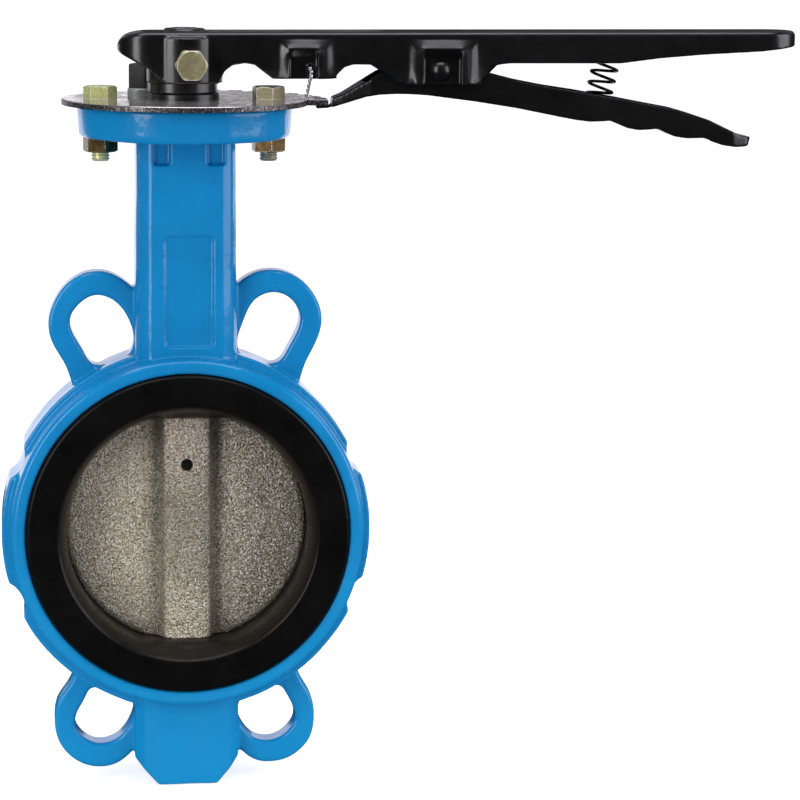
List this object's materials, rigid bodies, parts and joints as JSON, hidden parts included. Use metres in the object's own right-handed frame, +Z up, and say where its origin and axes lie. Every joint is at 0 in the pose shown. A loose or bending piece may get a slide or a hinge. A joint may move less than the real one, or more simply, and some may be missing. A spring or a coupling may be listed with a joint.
{
  "type": "butterfly valve",
  "caption": "Wafer butterfly valve with a rubber seat, a disc on a vertical stem, and a squeeze-trigger lever over a notched plate.",
  "frame": {"origin": "centre of the bore, midway between the two seat faces", "axes": "Y is the pipe axis with the front seat face towards -Y, +Z runs up the stem, and +X is the way the lever points when the valve is shut"},
  "size_m": [0.3406, 0.1121, 0.3235],
  "materials": {
    "blue_epoxy": "thick glossy epoxy over cast iron",
    "black_epdm": "satin moulded rubber",
    "nickel_iron": "blasted casting with a thin nickel plating",
    "dark_steel": "dull steel pin end",
    "stainless": "turned stainless",
    "bronze_bush": "sintered bronze",
    "spring_steel": "oil-black spring steel",
    "polished_plate": "bright plated sheet steel",
    "yellow_zinc": "yellow passivated zinc",
    "grey_zinc": "dull grey zinc",
    "black_gloss": "gloss black enamel",
    "bright_wire": "bright annealed wire"
  },
  "bodies": {
    "body": {"valve_body": "blue_epoxy", "seat_liner": "black_epdm", "upper_bush": "bronze_bush", "middle_bush": "bronze_bush", "lower_bush": "bronze_bush", "stem_o_rings": "black_epdm", "stem_circlip": "spring_steel", "notch_plate": "polished_plate", "plate_bolts": "yellow_zinc", "plate_nuts": "yellow_zinc", "stop_washer": "grey_zinc", "stop_post": "grey_zinc", "hub_spacer": "black_gloss"},
    "lever": {"disc": "nickel_iron", "disc_pin": "dark_steel", "stem": "stainless", "stem_retainer": "stainless", "lever_hub": "black_gloss", "handle": "black_gloss", "clamp_bolt": "yellow_zinc", "trigger_pin": "black_gloss", "trigger_spring": "spring_steel", "lock_wire": "bright_wire"},
    "trigger": {"trigger": "black_gloss"}
  },
  "joints": [
    {"name": "lever_turn", "type": "hinge", "parent": "body", "child": "lever", "pos_m": [0, 0, 0], "axis": [0, 0, 1], "range_deg": [0, 90]},
    {"name": "trigger_squeeze", "type": "hinge", "parent": "lever", "child": "trigger", "pos_m": [0.107, 0, 0.195], "axis": [0, -1, 0], "range_deg": [0, 8], "stiffness_Nm_per_rad": 1.5, "springref_deg": -6.88, "deforming": ["trigger_spring"]}
  ]
}
